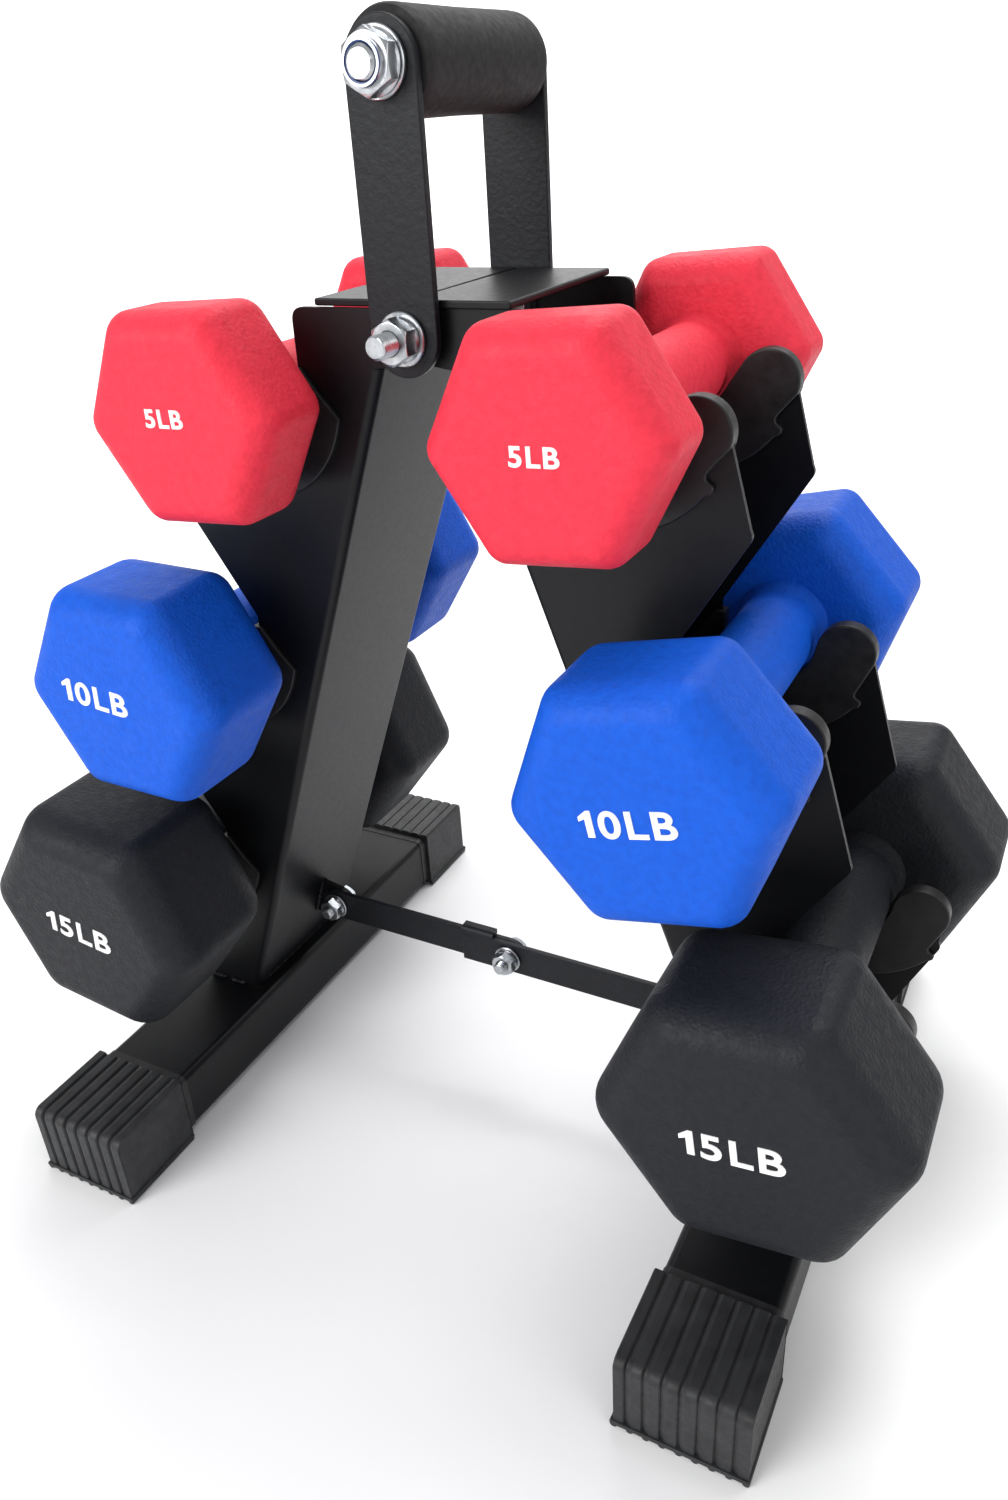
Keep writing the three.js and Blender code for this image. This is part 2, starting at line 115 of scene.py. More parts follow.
def node(material, kind, **values):
    made = material.node_tree.nodes.new(kind)
    for key, value in values.items():
        if hasattr(made, key):
            setattr(made, key, value)
        else:
            made.inputs[key.replace("_", " ")].default_value = value
    return made


def link(material, source, target):
    material.node_tree.links.new(source, target)


def noise(material, scale, detail=3.0):
    """Noise in the piece's own coordinates, with scale in features per metre."""
    place = node(material, "ShaderNodeTexCoord")
    texture = node(material, "ShaderNodeTexNoise", Scale=scale, Detail=detail)
    link(material, place.outputs["Object"], texture.inputs["Vector"])
    return texture.outputs["Fac"]


def pebbles(material, scale):
    place = node(material, "ShaderNodeTexCoord")
    texture = node(material, "ShaderNodeTexVoronoi", feature="SMOOTH_F1", Scale=scale)
    link(material, place.outputs["Object"], texture.inputs["Vector"])
    return texture.outputs["Distance"]


def bump(material, height, depth_mm, strength=1.0, below=None):
    made = node(material, "ShaderNodeBump", Strength=strength, Distance=depth_mm * MM)
    link(material, height, made.inputs["Height"])
    if below:
        link(material, below, made.inputs["Normal"])
    bsdf = material.node_tree.nodes["Principled BSDF"]
    link(material, made.outputs["Normal"], bsdf.inputs["Normal"])
    return made.outputs["Normal"]


def spread(material, factor, socket, low, high):
    """Drives a number on the shader between two values."""
    made = node(material, "ShaderNodeMapRange")
    made.inputs["From Min"].default_value = 0.3
    made.inputs["From Max"].default_value = 0.7
    made.inputs["To Min"].default_value = low
    made.inputs["To Max"].default_value = high
    link(material, factor, made.inputs["Value"])
    bsdf = material.node_tree.nodes["Principled BSDF"]
    link(material, made.outputs["Result"], bsdf.inputs[socket])


def tint(material, factor, dark, light, low=0.35, high=0.65):
    """Colour that wanders between two shades."""
    ramp = node(material, "ShaderNodeValToRGB")
    first, last = ramp.color_ramp.elements
    first.position, last.position = low, high
    first.color, last.color = (*dark, 1), (*light, 1)
    link(material, factor, ramp.inputs["Fac"])
    bsdf = material.node_tree.nodes["Principled BSDF"]
    link(material, ramp.outputs["Color"], bsdf.inputs["Base Color"])


def powder_coat(name, color, roughness, grain, depth):
    made = shader(name, color, roughness, Specular_IOR_Level=0.24)
    tint(made, noise(made, 300), [c * 0.85 for c in color], [c * 1.15 for c in color])
    spread(made, noise(made, 500), "Roughness", roughness - 0.03, roughness + 0.03)
    bump(made, noise(made, grain, 2), depth, 0.7)
    return made


def neoprene(name, dark, light):
    made = shader(name, light, 0.55, Specular_IOR_Level=0.22)
    tint(made, noise(made, 320, 4), dark, light, 0.3, 0.6)
    spread(made, noise(made, 250), "Roughness", 0.5, 0.64)
    soft = bump(made, noise(made, 160, 2), 0.25, 0.45)
    bump(made, pebbles(made, 850), 0.3, 0.7, soft)
    return made


def zinc_plate():
    made = shader("zinc plate", (0.46, 0.48, 0.5), 0.3, 1.0)
    tint(made, noise(made, 260), (0.4, 0.42, 0.44), (0.54, 0.56, 0.58))
    spread(made, noise(made, 600), "Roughness", 0.26, 0.36)
    bump(made, noise(made, 900, 2), 0.012, 0.4)
    return made


def rubber(name, color, roughness, grain):
    made = shader(name, color, roughness, Specular_IOR_Level=0.36)
    tint(made, noise(made, 120), [c * 0.75 for c in color], [c * 1.3 for c in color])
    spread(made, noise(made, 400), "Roughness", roughness - 0.08, roughness + 0.08)
    bump(made, noise(made, grain, 4), 0.08, 0.6)
    return made


def print_white():
    made = shader("label white", (0.86, 0.86, 0.86), 0.5)
    tint(made, noise(made, 500), (0.8, 0.8, 0.8), (0.9, 0.9, 0.9))
    bump(made, noise(made, 1500), 0.04, 0.5)
    return made


def nylon():
    made = shader("nylon ring", (0.01, 0.04, 0.2), 0.35)
    tint(made, noise(made, 700), (0.008, 0.035, 0.17), (0.015, 0.06, 0.26))
    return made


SATIN = powder_coat("satin powder coat", (0.0034, 0.0037, 0.0048), 0.4, 1400, 0.03)
TEXTURED = powder_coat("textured powder coat", (0.0074, 0.0082, 0.0108), 0.46, 560, 0.24)
ZINC = zinc_plate()
CAP_RUBBER = rubber("cap rubber", (0.017, 0.0175, 0.019), 0.5, 900)
LINER_PLASTIC = rubber("liner plastic", (0.009, 0.009, 0.0095), 0.45, 1300)
FOAM = rubber("grip foam", (0.0083, 0.0083, 0.0090), 0.72, 1600)
WHITE = print_white()
NYLON = nylon()
COATS = [
    neoprene("red neoprene", (0.66, 0.026, 0.05), (0.74, 0.032, 0.06)),
    neoprene("blue neoprene", (0.001, 0.075, 0.5), (0.0012, 0.088, 0.57)),
    neoprene("black neoprene", (0.0085, 0.0094, 0.0122), (0.0112, 0.0122, 0.0155)),
]


# ---- Mesh code: everything is drawn in millimetres, with outboard towards +X ----
def mesh_of(vertices, faces):
    mesh = bpy.data.meshes.new("piece")
    mesh.from_pydata(vertices, [], faces)
    return cleaned(mesh)


def cleaned(mesh):
    """Merges doubled vertices and turns the faces outwards."""
    work = bmesh.new()
    work.from_mesh(mesh)
    bmesh.ops.remove_doubles(work, verts=work.verts, dist=1e-3)
    bmesh.ops.dissolve_degenerate(work, edges=work.edges, dist=1e-4)
    bmesh.ops.recalc_face_normals(work, faces=work.faces)
    work.to_mesh(mesh)
    work.free()
    return mesh


def from_object(obj):
    """The final mesh of an object that is then thrown away."""
    bpy.context.scene.collection.objects.link(obj)
    evaluated = obj.evaluated_get(bpy.context.evaluated_depsgraph_get())
    mesh = bpy.data.meshes.new_from_object(evaluated)
    bpy.data.objects.remove(obj)
    return mesh


def joined(*meshes):
    work = bmesh.new()
    for mesh in meshes:
        work.from_mesh(mesh)
    result = bpy.data.meshes.new("piece")
    work.to_mesh(result)
    work.free()
    return result


def carved(mesh, cutter):
    tool = bpy.data.objects.new("cutter", cutter)
    bpy.context.scene.collection.objects.link(tool)
    obj = bpy.data.objects.new("carved", mesh)
    cut = obj.modifiers.new("cut", "BOOLEAN")
    cut.operation, cut.solver, cut.object = "DIFFERENCE", "EXACT", tool
    result = from_object(obj)
    bpy.data.objects.remove(tool)
    return result


def arc(x, z, radius, start, end, steps=24):
    """Points round a circle, with angles in radians."""
    angles = [start + (end - start) * i / steps for i in range(steps + 1)]
    return [(x + radius * math.cos(a), z + radius * math.sin(a)) for a in angles]


def circle(x, z, radius, steps=40):
    return arc(x, z, radius, 0, 2 * math.pi, steps)[:-1]


def rounded(before, at, after, radius, steps=6):
    """A corner's points, rounded by a quadratic curve."""
    at = Vector(at)
    inward = (Vector(before) - at).normalized()
    outward = (Vector(after) - at).normalized()
    run = radius / math.tan(math.acos(inward.dot(outward)) / 2)
    start, end = at + inward * run, at + outward * run
    points = []
    for i in range(steps + 1):
        t = i / steps
        points.append(tuple(start * (1 - t) ** 2 + at * 2 * t * (1 - t) + end * t**2))
    return points


def plate(outlines, low, high, edge=0.35):
    """Flat outlines in X and Z, given thickness in Y, with rounded edges."""
    curve = bpy.data.curves.new("plate", "CURVE")
    curve.dimensions, curve.fill_mode = "2D", "BOTH"
    curve.extrude = (high - low) / 2 - edge
    curve.bevel_depth, curve.offset, curve.bevel_resolution = edge, -edge, 2
    for outline in outlines:
        spline = curve.splines.new("POLY")
        spline.points.add(len(outline) - 1)
        spline.use_cyclic_u = True
        for point, (x, z) in zip(spline.points, outline):
            point.co = (x, z, 0, 1)
    mesh = from_object(bpy.data.objects.new("plate", curve))
    mesh.transform(Matrix.Translation((0, (low + high) / 2, 0)) @ Matrix.Rotation(math.pi / 2, 4, "X"))
    return cleaned(mesh)


def rings(loops, closed=False):
    """A skin through loops with equally many points; its ends are capped unless it closes on itself."""
    count = len(loops[0])
    vertices = [p for loop in loops for p in loop]
    faces = []
    for r in range(len(loops) if closed else len(loops) - 1):
        here, there = r * count, ((r + 1) % len(loops)) * count
        for i in range(count):
            j = (i + 1) % count
            faces.append((here + i, here + j, there + j, there + i))
    if not closed:
        faces.append(tuple(range(count)))
        faces.append(tuple(range((len(loops) - 1) * count, len(loops) * count)))
    return mesh_of(vertices, faces)


def turned(profile, x, z, segments=48, closed=False):
    """A profile of (radius, y) turned about an axis along Y."""
    loops = [[(px, y, pz) for px, pz in circle(x, z, radius, segments)] for radius, y in profile]
    return rings(loops, closed)


def hexagonal(x, z, flats, low, high, chamfered, bore=0.0, segments=72):
    """A hexagonal prism with its corners chamfered at the ends named, and a bore."""
    corner = flats / 2 / math.cos(math.pi / 6)
    drop = (corner - flats / 2 * 0.96) * 0.55
    steps = 5
    stations = []
    for i in range(steps + 1):
        stations.append((low + drop * i / steps, i / steps if "low" in chamfered else 1))
    for i in range(steps + 1):
        stations.append((high - drop * (1 - i / steps), 1 - i / steps if "high" in chamfered else 1))
    loops = []
    for y, open_part in stations:
        limit = flats / 2 * 0.96 + (corner - flats / 2 * 0.96) * open_part
        loop = []
        for k in range(segments):
            a = 2 * math.pi * k / segments
            wedge = (a + math.pi / 6) % (math.pi / 3) - math.pi / 6
            radius = min(flats / 2 / math.cos(wedge), limit)
            loop.append((x + radius * math.cos(a), y, z + radius * math.sin(a)))
        loops.append(loop)
    if bore:
        for y in (high, low):
            loops.append([(px, y, pz) for px, pz in circle(x, z, bore, segments)])
    return rings(loops, closed=bool(bore))


def threaded(x, z, radius, pitch, low, high, segments=36):
    """A screw thread along Y, with pointed ends taken off."""
    rows = max(4, round((high - low) / pitch * 5))
    depth = pitch * 0.5
    loops = []
    for r in range(rows + 1):
        y = low + (high - low) * r / rows
        taper = min(1.0, (y - low) / pitch + 0.15)
        loop = []
        for k in range(segments):
            a = 2 * math.pi * k / segments
            phase = (y / pitch + k / segments) % 1
            reach = radius - depth * abs(2 * phase - 1) - depth * (1 - taper)
            loop.append((x + reach * math.cos(a), y, z + reach * math.sin(a)))
        loops.append(loop)
    return rings(loops)


def piece(mesh, name, body, material, nodes=(), turn=0.0, bevel=0.0, sharp=35):
    """Puts a mesh drawn in millimetres on its body, in place of the CAD nodes it stands for."""
    mesh.transform(Matrix.Rotation(turn, 4, "Z") @ Matrix.Scale(MM, 4))
    mesh.materials.clear()
    mesh.materials.append(material)
    mesh.shade_smooth()
    mesh.set_sharp_from_angle(angle=math.radians(sharp))
    obj = bpy.data.objects.new(name, mesh)
    bpy.context.scene.collection.objects.link(obj)
    if bevel:
        soften = obj.modifiers.new("bevel", "BEVEL")
        soften.width, soften.segments, soften.limit_method = bevel * MM, 2, "ANGLE"
        soften.angle_limit = math.radians(sharp)
    obj.modifiers.new("normals", "WEIGHTED_NORMAL").keep_sharp = True
    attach(obj, body)
    if nodes:
        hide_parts(*nodes)
    return obj


# ---- Leg: a sheet bent to a channel, with sawtooth flanges ----
def web_x(z):
    return WEB_AT_PIVOT + (PIVOT_Z - z) * math.tan(LEAN)


def bell_axis(tier):
    centre = middle(f"right_dumbbell_{BELLS[tier][0]}lb")
    return centre.x, centre.z


def notch(tier):
    x, z = bell_axis(tier)
    return x, z + LINER_RADIUS - BELLS[tier][3] - GAP


def arm(tier):
    """Middle of the arm's round tip, about which a dumbbell is lifted out."""
    x, _, z = joints[f"right_{BELLS[tier][0]}_lift_out"]
    return x, z


def crossing(tier, notch_radius, arm_radius):
    """Angle at which the crossing tangent of notch and arm tip leaves the notch."""
    across = Vector(arm(tier)) - Vector(notch(tier))
    return math.atan2(across.y, across.x) - math.acos((notch_radius + arm_radius) / across.length)


def tangent_angle(centre, radius, outside):
    to = Vector(outside) - Vector(centre)
    return math.atan2(to.y, to.x) + math.acos(radius / to.length)


def saddle_curve(tier, notch_radius, arm_radius, arm_end):
    """Notch and arm tip, joined by their crossing tangent."""
    (nx, nz), (ax, az) = notch(tier), arm(tier)
    leave = crossing(tier, notch_radius, arm_radius)
    hollow = arc(nx, nz, notch_radius, -math.pi, leave, 36)
    return hollow + arc(ax, az, arm_radius, leave + math.pi, arm_end, 28)


def flange_outline():
    bottom = TUBE_TOP + GAP
    bend = BEND_RADIUS / math.cos(LEAN)
    points = [(web_x(bottom) + bend, bottom), (web_x(WEB_TOP) + bend, WEB_TOP)]
    points += arc(0, PIVOT_Z, EAR_RADIUS, -math.pi * 0.55, -math.pi * 1.5)
    points += rounded((0, FLANGE_TOP), (FLANGE_TOP_END, FLANGE_TOP), (FLANGE_TOP_END, PIVOT_Z), 5)
    for tier, tip in enumerate(ARM_CORNERS):
        nx, nz = notch(tier)
        points.append((nx - NOTCH_RADIUS, nz + (6 if tier == 0 else 12)))
        edge = tangent_angle(arm(tier), ARM_RADIUS, tip)
        points += saddle_curve(tier, NOTCH_RADIUS, ARM_RADIUS, edge)
        after = (FOOT_END, bottom)
        if tier < 2:
            after = (notch(tier + 1)[0] - NOTCH_RADIUS, notch(tier + 1)[1] + 12)
        points += rounded(arm(tier), tip, after, 4)
    points.append((FOOT_END, bottom))
    return points


def channel():
    """One sheet: its outer faces, given thickness inwards by a modifier."""
    outline = flange_outline()
    hole = circle(0, PIVOT_Z, 4.3, 28)
    triangles = tessellate_polygon([[Vector((x, z, 0)) for x, z in ring] for ring in (outline, hole)])
    work = bmesh.new()
    edges = {}
    for y in (-INNER_FLANGE, OUTER_FLANGE):
        corners = [work.verts.new((x, y, z)) for x, z in outline + hole]
        for triangle in triangles:
            work.faces.new([corners[i] for i in triangle])
        edges[y] = corners[:2]
    steps = 6
    previous = edges[-INNER_FLANGE]
    bend = BEND_RADIUS / math.cos(LEAN)
    columns = [(-INNER_FLANGE + BEND_RADIUS, -1, i) for i in range(1, steps + 1)]
    columns += [(OUTER_FLANGE - BEND_RADIUS, 1, i) for i in range(steps, 0, -1)]
    for centre, side, i in columns:
        angle = math.pi / 2 * i / steps
        y = centre + side * BEND_RADIUS * math.cos(angle)
        away = bend * (1 - math.sin(angle))
        heights = (TUBE_TOP + GAP, WEB_TOP)
        column = [work.verts.new((web_x(z) + away, y, z)) for z in heights]
        work.faces.new((previous[0], previous[1], column[1], column[0]))
        previous = column
    last = edges[OUTER_FLANGE]
    work.faces.new((previous[0], previous[1], last[1], last[0]))
    bmesh.ops.recalc_face_normals(work, faces=work.faces)
    front = next(f for f in work.faces if all(abs(v.co.y + INNER_FLANGE) < 1e-4 for v in f.verts))
    if front.normal.y > 0:
        bmesh.ops.reverse_faces(work, faces=work.faces)
    mesh = bpy.data.meshes.new("channel")
    work.to_mesh(mesh)
    work.free()
    obj = bpy.data.objects.new("channel", mesh)
    solid = obj.modifiers.new("sheet", "SOLIDIFY")
    solid.thickness, solid.offset, solid.use_even_offset = SHEET, -1, True
    return from_object(obj)


# The small wave in a skirt's rim under the arm, from the notch's centre.
LINER_HOOK = [(35.0, -17.4), (34.3, -18.8), (34.4, -20.0), (35.3, -20.8),
              (36.4, -21.4), (36.9, -22.5), (36.5, -23.9), (35.3, -24.9)]


def liner(tier, low, high):
    """A moulded U that clips over the saddle, with round skirts on both faces of the flange."""
    nx, nz = notch(tier)
    radius = ARM_RADIUS + LINER_WALL
    outline = [(nx - NOTCH_RADIUS - LINER_WALL, nz + 8), (nx - LINER_RADIUS, nz + 8)]
    outline += saddle_curve(tier, LINER_RADIUS, radius, -0.35)
    outline += [(nx + x, nz + z) for x, z in LINER_HOOK]
    outline += arc(nx + 3, nz, 40, math.radians(-39), math.radians(-167.5), 40)
    outline += [(nx - 28, nz)]
    body = plate([outline], low - LINER_WALL, high + LINER_WALL, 0.7)
    edge = tangent_angle(arm(tier), ARM_RADIUS, ARM_CORNERS[tier])
    slot = [(nx - 60, nz + 20), (nx - NOTCH_RADIUS + GAP, nz + 20)]
    slot += saddle_curve(tier, NOTCH_RADIUS - GAP, ARM_RADIUS + GAP, edge)
    x, z = slot[-1]
    slot += [(x + 70 * math.sin(edge), z - 70 * math.cos(edge)), (nx + 60, nz - 90), (nx - 60, nz - 90)]
    return cleaned(carved(body, plate([slot], low - GAP, high + GAP, 0.02)))


def rounded_box(x0, x1, z0, z1, radius):
    corners = [(x1, z0, -1, 1), (x1, z1, -1, -1), (x0, z1, 1, -1), (x0, z0, 1, 1)]
    points = []
    for k, (x, z, sx, sz) in enumerate(corners):
        start = math.pi * (k - 1) / 2
        points += arc(x + sx * radius, z + sz * radius, radius, start, start + math.pi / 2, 6)
    return points


def base_tube():
    low, high = box("right_base_tube")
    outer = rounded_box(low.x, high.x, low.z, high.z, 3.5)
    inner = rounded_box(low.x + 1.8, high.x - 1.8, low.z + 1.8, high.z - 1.8, 2)
    return plate([outer, inner], low.y, high.y, 0.3)


def end_cap():
    """The front cap: eight ribs run over its top and down its end, to a lip with small round teeth below."""
    low, high = box("right_end_cap_front")
    tube_low, tube_high = box("right_base_tube")
    ribs, groove, depth, nose = 8, 1.1, 0.95, 4.0
    foot, lip = 1.7, 0.7
    pitch = (high.x - low.x + groove) / ribs

    def loop(x, inset):
        y0, z0, z1 = low.y + lip + inset, low.z + foot + 0.4, high.z - inset
        points = [(high.y, z0), (y0 + 1, z0), (y0, z0 + 1)]
        points += arc(y0 + nose, z1 - nose, nose, math.pi, math.pi / 2, 8) + [(high.y, z1)]
        return [(x, y, z) for y, z in points]

    loops = [loop(low.x + lip, 1.6), loop(low.x + lip + 0.2, 0.9)]
    for rib in range(ribs):
        start = low.x + rib * pitch
        end = start + pitch - groove
        first = start + (lip + 0.4 if rib == 0 else 0)
        edges = [(first, 0.5), (start + lip + 0.7, 0.05), (start + lip + 0.9, 0)]
        edges += [(end - 1.0, 0), (end - 0.5, 0.05), (end, 0.5)]
        loops += [loop(x, inset) for x, inset in edges]
        if rib + 1 < ribs:
            loops += [loop(end + 0.15, depth), loop(end + groove - 0.15, depth)]
    loops[-1] = loop(high.x - lip - 0.2, 0.9)
    loops.append(loop(high.x - lip, 1.6))
    skin = rings(loops)
    pocket = plate(
        [rounded_box(tube_low.x - GAP, tube_high.x + GAP, tube_low.z - GAP, tube_high.z + GAP, 3.5)],
        tube_low.y - GAP,
        high.y + 5,
        0.02,
    )
    body = cleaned(carved(skin, pocket))
    ledge = plate([rounded_box(low.x, high.x, foot, foot + 1.8, 0.7)], low.y, high.y, 0.4)
    teeth = []
    for k in range(ribs + 1):
        x = low.x + 1.4 + k * (high.x - low.x - 2.8) / ribs
        teeth.append(plate([circle(x, 1.35, 1.35, 16)], low.y + 0.3, high.y - 0.5, 0.3))
    return joined(body, ledge, *teeth)


def bead(start, end, radius, seed):
    """A weld bead: a tube with the ripples of a hand weld."""
    start, end = Vector(start), Vector(end)
    along = (end - start).normalized()
    side = along.orthogonal().normalized()
    other = along.cross(side)
    steps = max(10, round((end - start).length * 1.5))
    loops = []
    for i in range(steps + 1):
        t = i / steps
        swell = 1 + 0.16 * math.sin(i * 2.1 + seed) + 0.08 * math.sin(i * 0.7 + 2 * seed)
        size = radius * swell * min(1, 0.35 + 6 * min(t, 1 - t))
        at = start.lerp(end, t)
        loops.append(
            [tuple(at + (side * math.cos(a) + other * math.sin(a)) * size)
             for a in (2 * math.pi * k / 14 for k in range(14))]
        )
    return rings(loops)


def leg_welds():
    z = TUBE_TOP + 0.6
    inner = web_x(z)
    beads = [
        bead((inner + 1, -INNER_FLANGE + 2, z), (inner + 1, OUTER_FLANGE - 2, z), 1.5, 1),
        bead((inner + 8, -INNER_FLANGE, z), (inner + 17, -INNER_FLANGE, z), 1.7, 2),
        bead((FOOT_END - 9, -INNER_FLANGE, z), (FOOT_END, -INNER_FLANGE, z), 1.7, 3),
        bead((inner + 8, OUTER_FLANGE, z), (inner + 17, OUTER_FLANGE, z), 1.7, 4),
        bead((FOOT_END - 9, OUTER_FLANGE, z), (FOOT_END, OUTER_FLANGE, z), 1.7, 5),
    ]
    return joined(*beads)


# ---- Dumbbells ----
def hex_loop(x, z, roll, y, flats, rounding):
    """A hexagon with round corners, as points round the Y axis."""
    reach = (flats / 2 - rounding) / math.cos(math.pi / 6)
    points = []
    arc_steps, flat_steps = 10, 3
    for k in range(6):
        a = k * math.pi / 3 + roll
        cx, cz = x + reach * math.cos(a), z + reach * math.sin(a)
        corner = arc(cx, cz, rounding, a - math.pi / 6, a + math.pi / 6, arc_steps)
        b = a + math.pi / 3
        nx, nz = x + reach * math.cos(b), z + reach * math.sin(b)
        following = arc(nx, nz, rounding, b - math.pi / 6, b + math.pi / 6, arc_steps)[0]
        points += corner
        last = Vector(corner[-1])
        points += [tuple(last.lerp(Vector(following), i / flat_steps)) for i in range(1, flat_steps)]
    return [(px, y, pz) for px, pz in points]


def round_loop(x, z, roll, y, radius, count):
    start = roll - math.pi / 6
    return [(x + radius * math.cos(start + 2 * math.pi * i / count), y,
             z + radius * math.sin(start + 2 * math.pi * i / count)) for i in range(count)]


def dumbbell(node_name, tier, roll):
    _, flats, head, grip = BELLS[tier]
    centre = middle(node_name)
    end = box(node_name)[1].y
    reach = end - head
    edge = flats * 0.16
    corner = flats * 0.1
    half = []
    steps = 10
    for i in range(steps + 1):
        a = math.pi / 2 * i / steps
        inset = edge * 0.85 * (1 - math.sin(a))
        half.append((end - edge * (1 - math.cos(a)), inset))
    half += [(end - edge - (head - 2 * edge) * t, 0.0) for t in (0.33, 0.66)]
    for i in range(steps + 1):
        a = math.pi / 2 * (1 - i / steps)
        half.append((reach + edge * (1 - math.cos(a)), edge * 0.85 * (1 - math.sin(a))))
    loops = []
    for y, inset in half:
        rounding = corner * (1 - inset / edge * 0.25)
        loops.append(hex_loop(centre.x, centre.z, roll, y, flats - 2 * inset, rounding))
    count = len(loops[0])
    neck = []
    for i in range(7):
        a = math.pi / 2 * i / 6
        neck.append((reach - 6.5 * math.sin(a), grip + 2.6 * (1 - math.sin(a)) ** 1.5))
    neck += [(reach * 0.5, grip), (0.0, grip)]
    loops += [round_loop(centre.x, centre.z, roll, y, radius, count) for y, radius in neck]
    mirrored = [[(x, -y, z) for x, y, z in loop] for loop in reversed(loops[:-1])]
    return rings(loops + mirrored)


def letters(text, size):
    """Bold letters that stand out by a fraction of a millimetre, facing the front."""
    curve = bpy.data.curves.new("label", "FONT")
    curve.body, curve.size = text, size
    curve.align_y = "BOTTOM_BASELINE"
    curve.space_character = 1.14
    curve.offset = size * 0.014
    curve.extrude, curve.bevel_depth, curve.bevel_resolution = 0.3, 0.1, 1
    mesh = from_object(bpy.data.objects.new("label", curve))
    mesh.transform(Matrix.Rotation(math.pi / 2, 4, "X"))
    return cleaned(mesh)


def span(mesh, axis):
    values = [v.co[axis] for v in mesh.vertices]
    return min(values), max(values)


def figure_one(height):
    """A numeral with a flag, as tall as the letters beside it."""
    stem, flag = height * 0.22, height * 0.2
    outline = [(0, 0), (0, height * 0.69), (-flag, height * 0.6), (-flag, height * 0.77),
               (stem * 0.35, height), (stem, height), (stem, 0)]
    return plate([outline], -0.4, 0.4, 0.1)


def label(text, size):
    """The mark in pounds, centred on the origin and a little wider than the plain lettering."""
    if text[0] == "1":
        rest = letters(text[1:], size)
        height = span(rest, 2)[1]
        one = figure_one(height)
        one.transform(Matrix.Translation((span(rest, 0)[0] - height * 0.4, 0, 0)))
        mesh = joined(one, rest)
    else:
        mesh = letters(text, size)
    (x0, x1), (z0, z1) = span(mesh, 0), span(mesh, 2)
    mesh.transform(Matrix.Translation((-(x0 + x1) / 2, 0, -(z0 + z1) / 2)))
    mesh.transform(Matrix.Diagonal((1.06, 1, 0.92, 1)))
    return mesh


def add_dumbbells(side):
    for tier, (pounds, *_) in enumerate(BELLS):
        name = f"{side}_dumbbell_{pounds}lb"
        body = f"{side}_dumbbell_{pounds}"
        sign = 1 if side == "right" else -1
        roll = math.radians(ROLLS[side][tier]) * sign
        coat = dumbbell(name, tier, roll)
        piece(coat, f"{name}_coat", body, COATS[tier], [name], sharp=60)
        centre = middle(name)
        face = box(name)[0].y
        tilt = Matrix.Rotation(-math.radians(LABEL_ROLLS[side][tier]), 4, "Y")
        for end, turn in (("front", 0), ("rear", math.pi)):
            mesh = label(f"{pounds}LB", LABEL_SIZES[tier])
            across, up = LABEL_SHIFTS[side][tier]
            mesh.transform(Matrix.Translation((across, face, up)) @ tilt)
            mesh.transform(Matrix.Translation((centre.x, 0, centre.z)) @ Matrix.Rotation(turn, 4, "Z"))
            piece(mesh, f"{name}_label_{end}", body, WHITE)


# ---- Hardware ----
def ring_washer(x, z, inner, outer, low, high):
    edge = min(0.3, (high - low) / 3)
    profile = [(inner, low), (outer - edge, low), (outer, low + edge), (outer, high - edge),
               (outer - edge, high), (inner, high)]
    return turned(profile, x, z, 56, closed=True)


def nut_body(low, high, x, z, shank, flats):
    """A hexagonal nut on a round flange of its own, which is turned to the washer."""
    flange = (high - low) * 0.18
    body = hexagonal(x, z, flats, low, high - flange * 0.6, ("low",), shank + 0.15)
    wide = flats / 2 * 1.12
    skirt = [(shank + 0.2, high - flange), (flats / 2 + 0.3, high - flange), (wide, high - flange * 0.4),
             (wide, high), (shank + 0.2, high)]
    return joined(body, turned(skirt, x, z, closed=True))


def lock_nut(low, high, x, z, shank, flats):
    """A nut with a domed collar on its outer, front end, and the nylon ring inside it."""
    collar = (high - low) * 0.3
    body = nut_body(low + collar, high, x, z, shank, flats)
    outer = flats / 2 * 0.82
    profile = [(outer, low + collar + 0.6), (outer, low + 1.2), (outer - 0.35, low + 0.5), (outer - 1.1, low),
               (shank + 1.3, low), (shank + 1.3, low + 0.8), (shank + 0.4, low + collar + 0.6)]
    insert = [(shank + 1.35, low + 0.35), (shank + 1.35, low + 1.8), (shank + 0.05, low + 1.8),
              (shank + 0.05, low + 0.5)]
    return joined(body, turned(profile, x, z, closed=True)), turned(insert, x, z, closed=True)


def fastener(body, bolt, nut, washers, x, z, shank, pitch, flats, turn=0.0):
    """Bolt and washers along Y, drawn with the nut to the front; the nut itself is drawn apart, and its span
    is given back.
    """
    sizes = {}
    for name in [bolt, nut, *washers]:
        low, high = box(name)
        sizes[name] = (low.y, high.y) if not turn else (-high.y, -low.y)
    low, high = sizes[bolt]
    head = shank * 1.32
    shaft = threaded(x, z, shank, pitch, low, high - head + 0.4)
    head_mesh = hexagonal(x, z, flats, high - head, high, ("high",))
    piece(joined(shaft, head_mesh), f"{bolt}_zinc", body, ZINC, [bolt], turn)
    for name in washers:
        mesh = ring_washer(x, z, shank + 0.3, middle_radius(name), *sizes[name])
        piece(mesh, f"{name}_zinc", body, ZINC, [name], turn)
    return sizes[nut]


def middle_radius(name):
    low, high = box(name)
    return (high.z - low.z) / 2


def add_nut(body, name, x, z, shank, flats, turn=0.0):
    low, high = box(name.replace("rear", "front"))
    piece(nut_body(low.y, high.y, x, z, shank, flats), f"{name}_zinc", body, ZINC, [name], turn)


